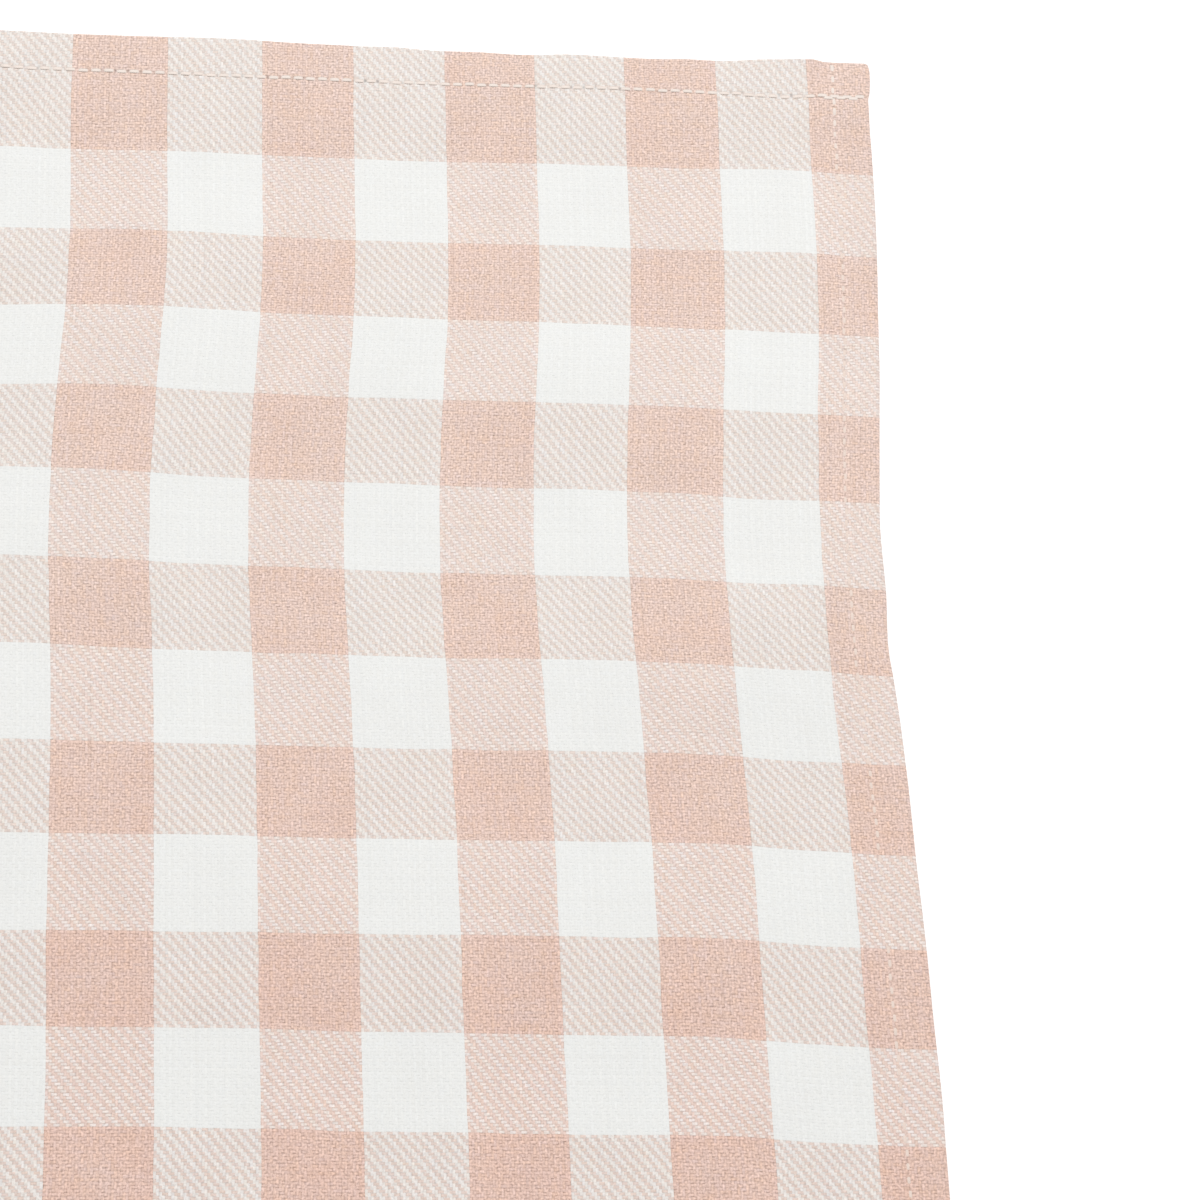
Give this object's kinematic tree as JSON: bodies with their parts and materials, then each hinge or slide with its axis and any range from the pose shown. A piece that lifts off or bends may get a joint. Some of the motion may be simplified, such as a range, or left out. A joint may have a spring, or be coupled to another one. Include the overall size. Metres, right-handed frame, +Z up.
{
  "type": "tea towel",
  "caption": "Flat woven cotton tea towel in a two-tone check, with turned and stitched hems on all sides, lying face up.",
  "frame": {"origin": "middle of the towel's outline, on the surface that it lies on", "axes": "+Z up out of the face, +Y along the length towards the end that the picture shows, +X towards the side that it shows"},
  "size_m": [0.506, 0.7036, 0.004],
  "materials": {
    "cotton": "matt coarse twill weave, dusty pink and white check"
  },
  "bodies": {
    "root": {"towel_cloth": "cotton"}
  },
  "joints": []
}
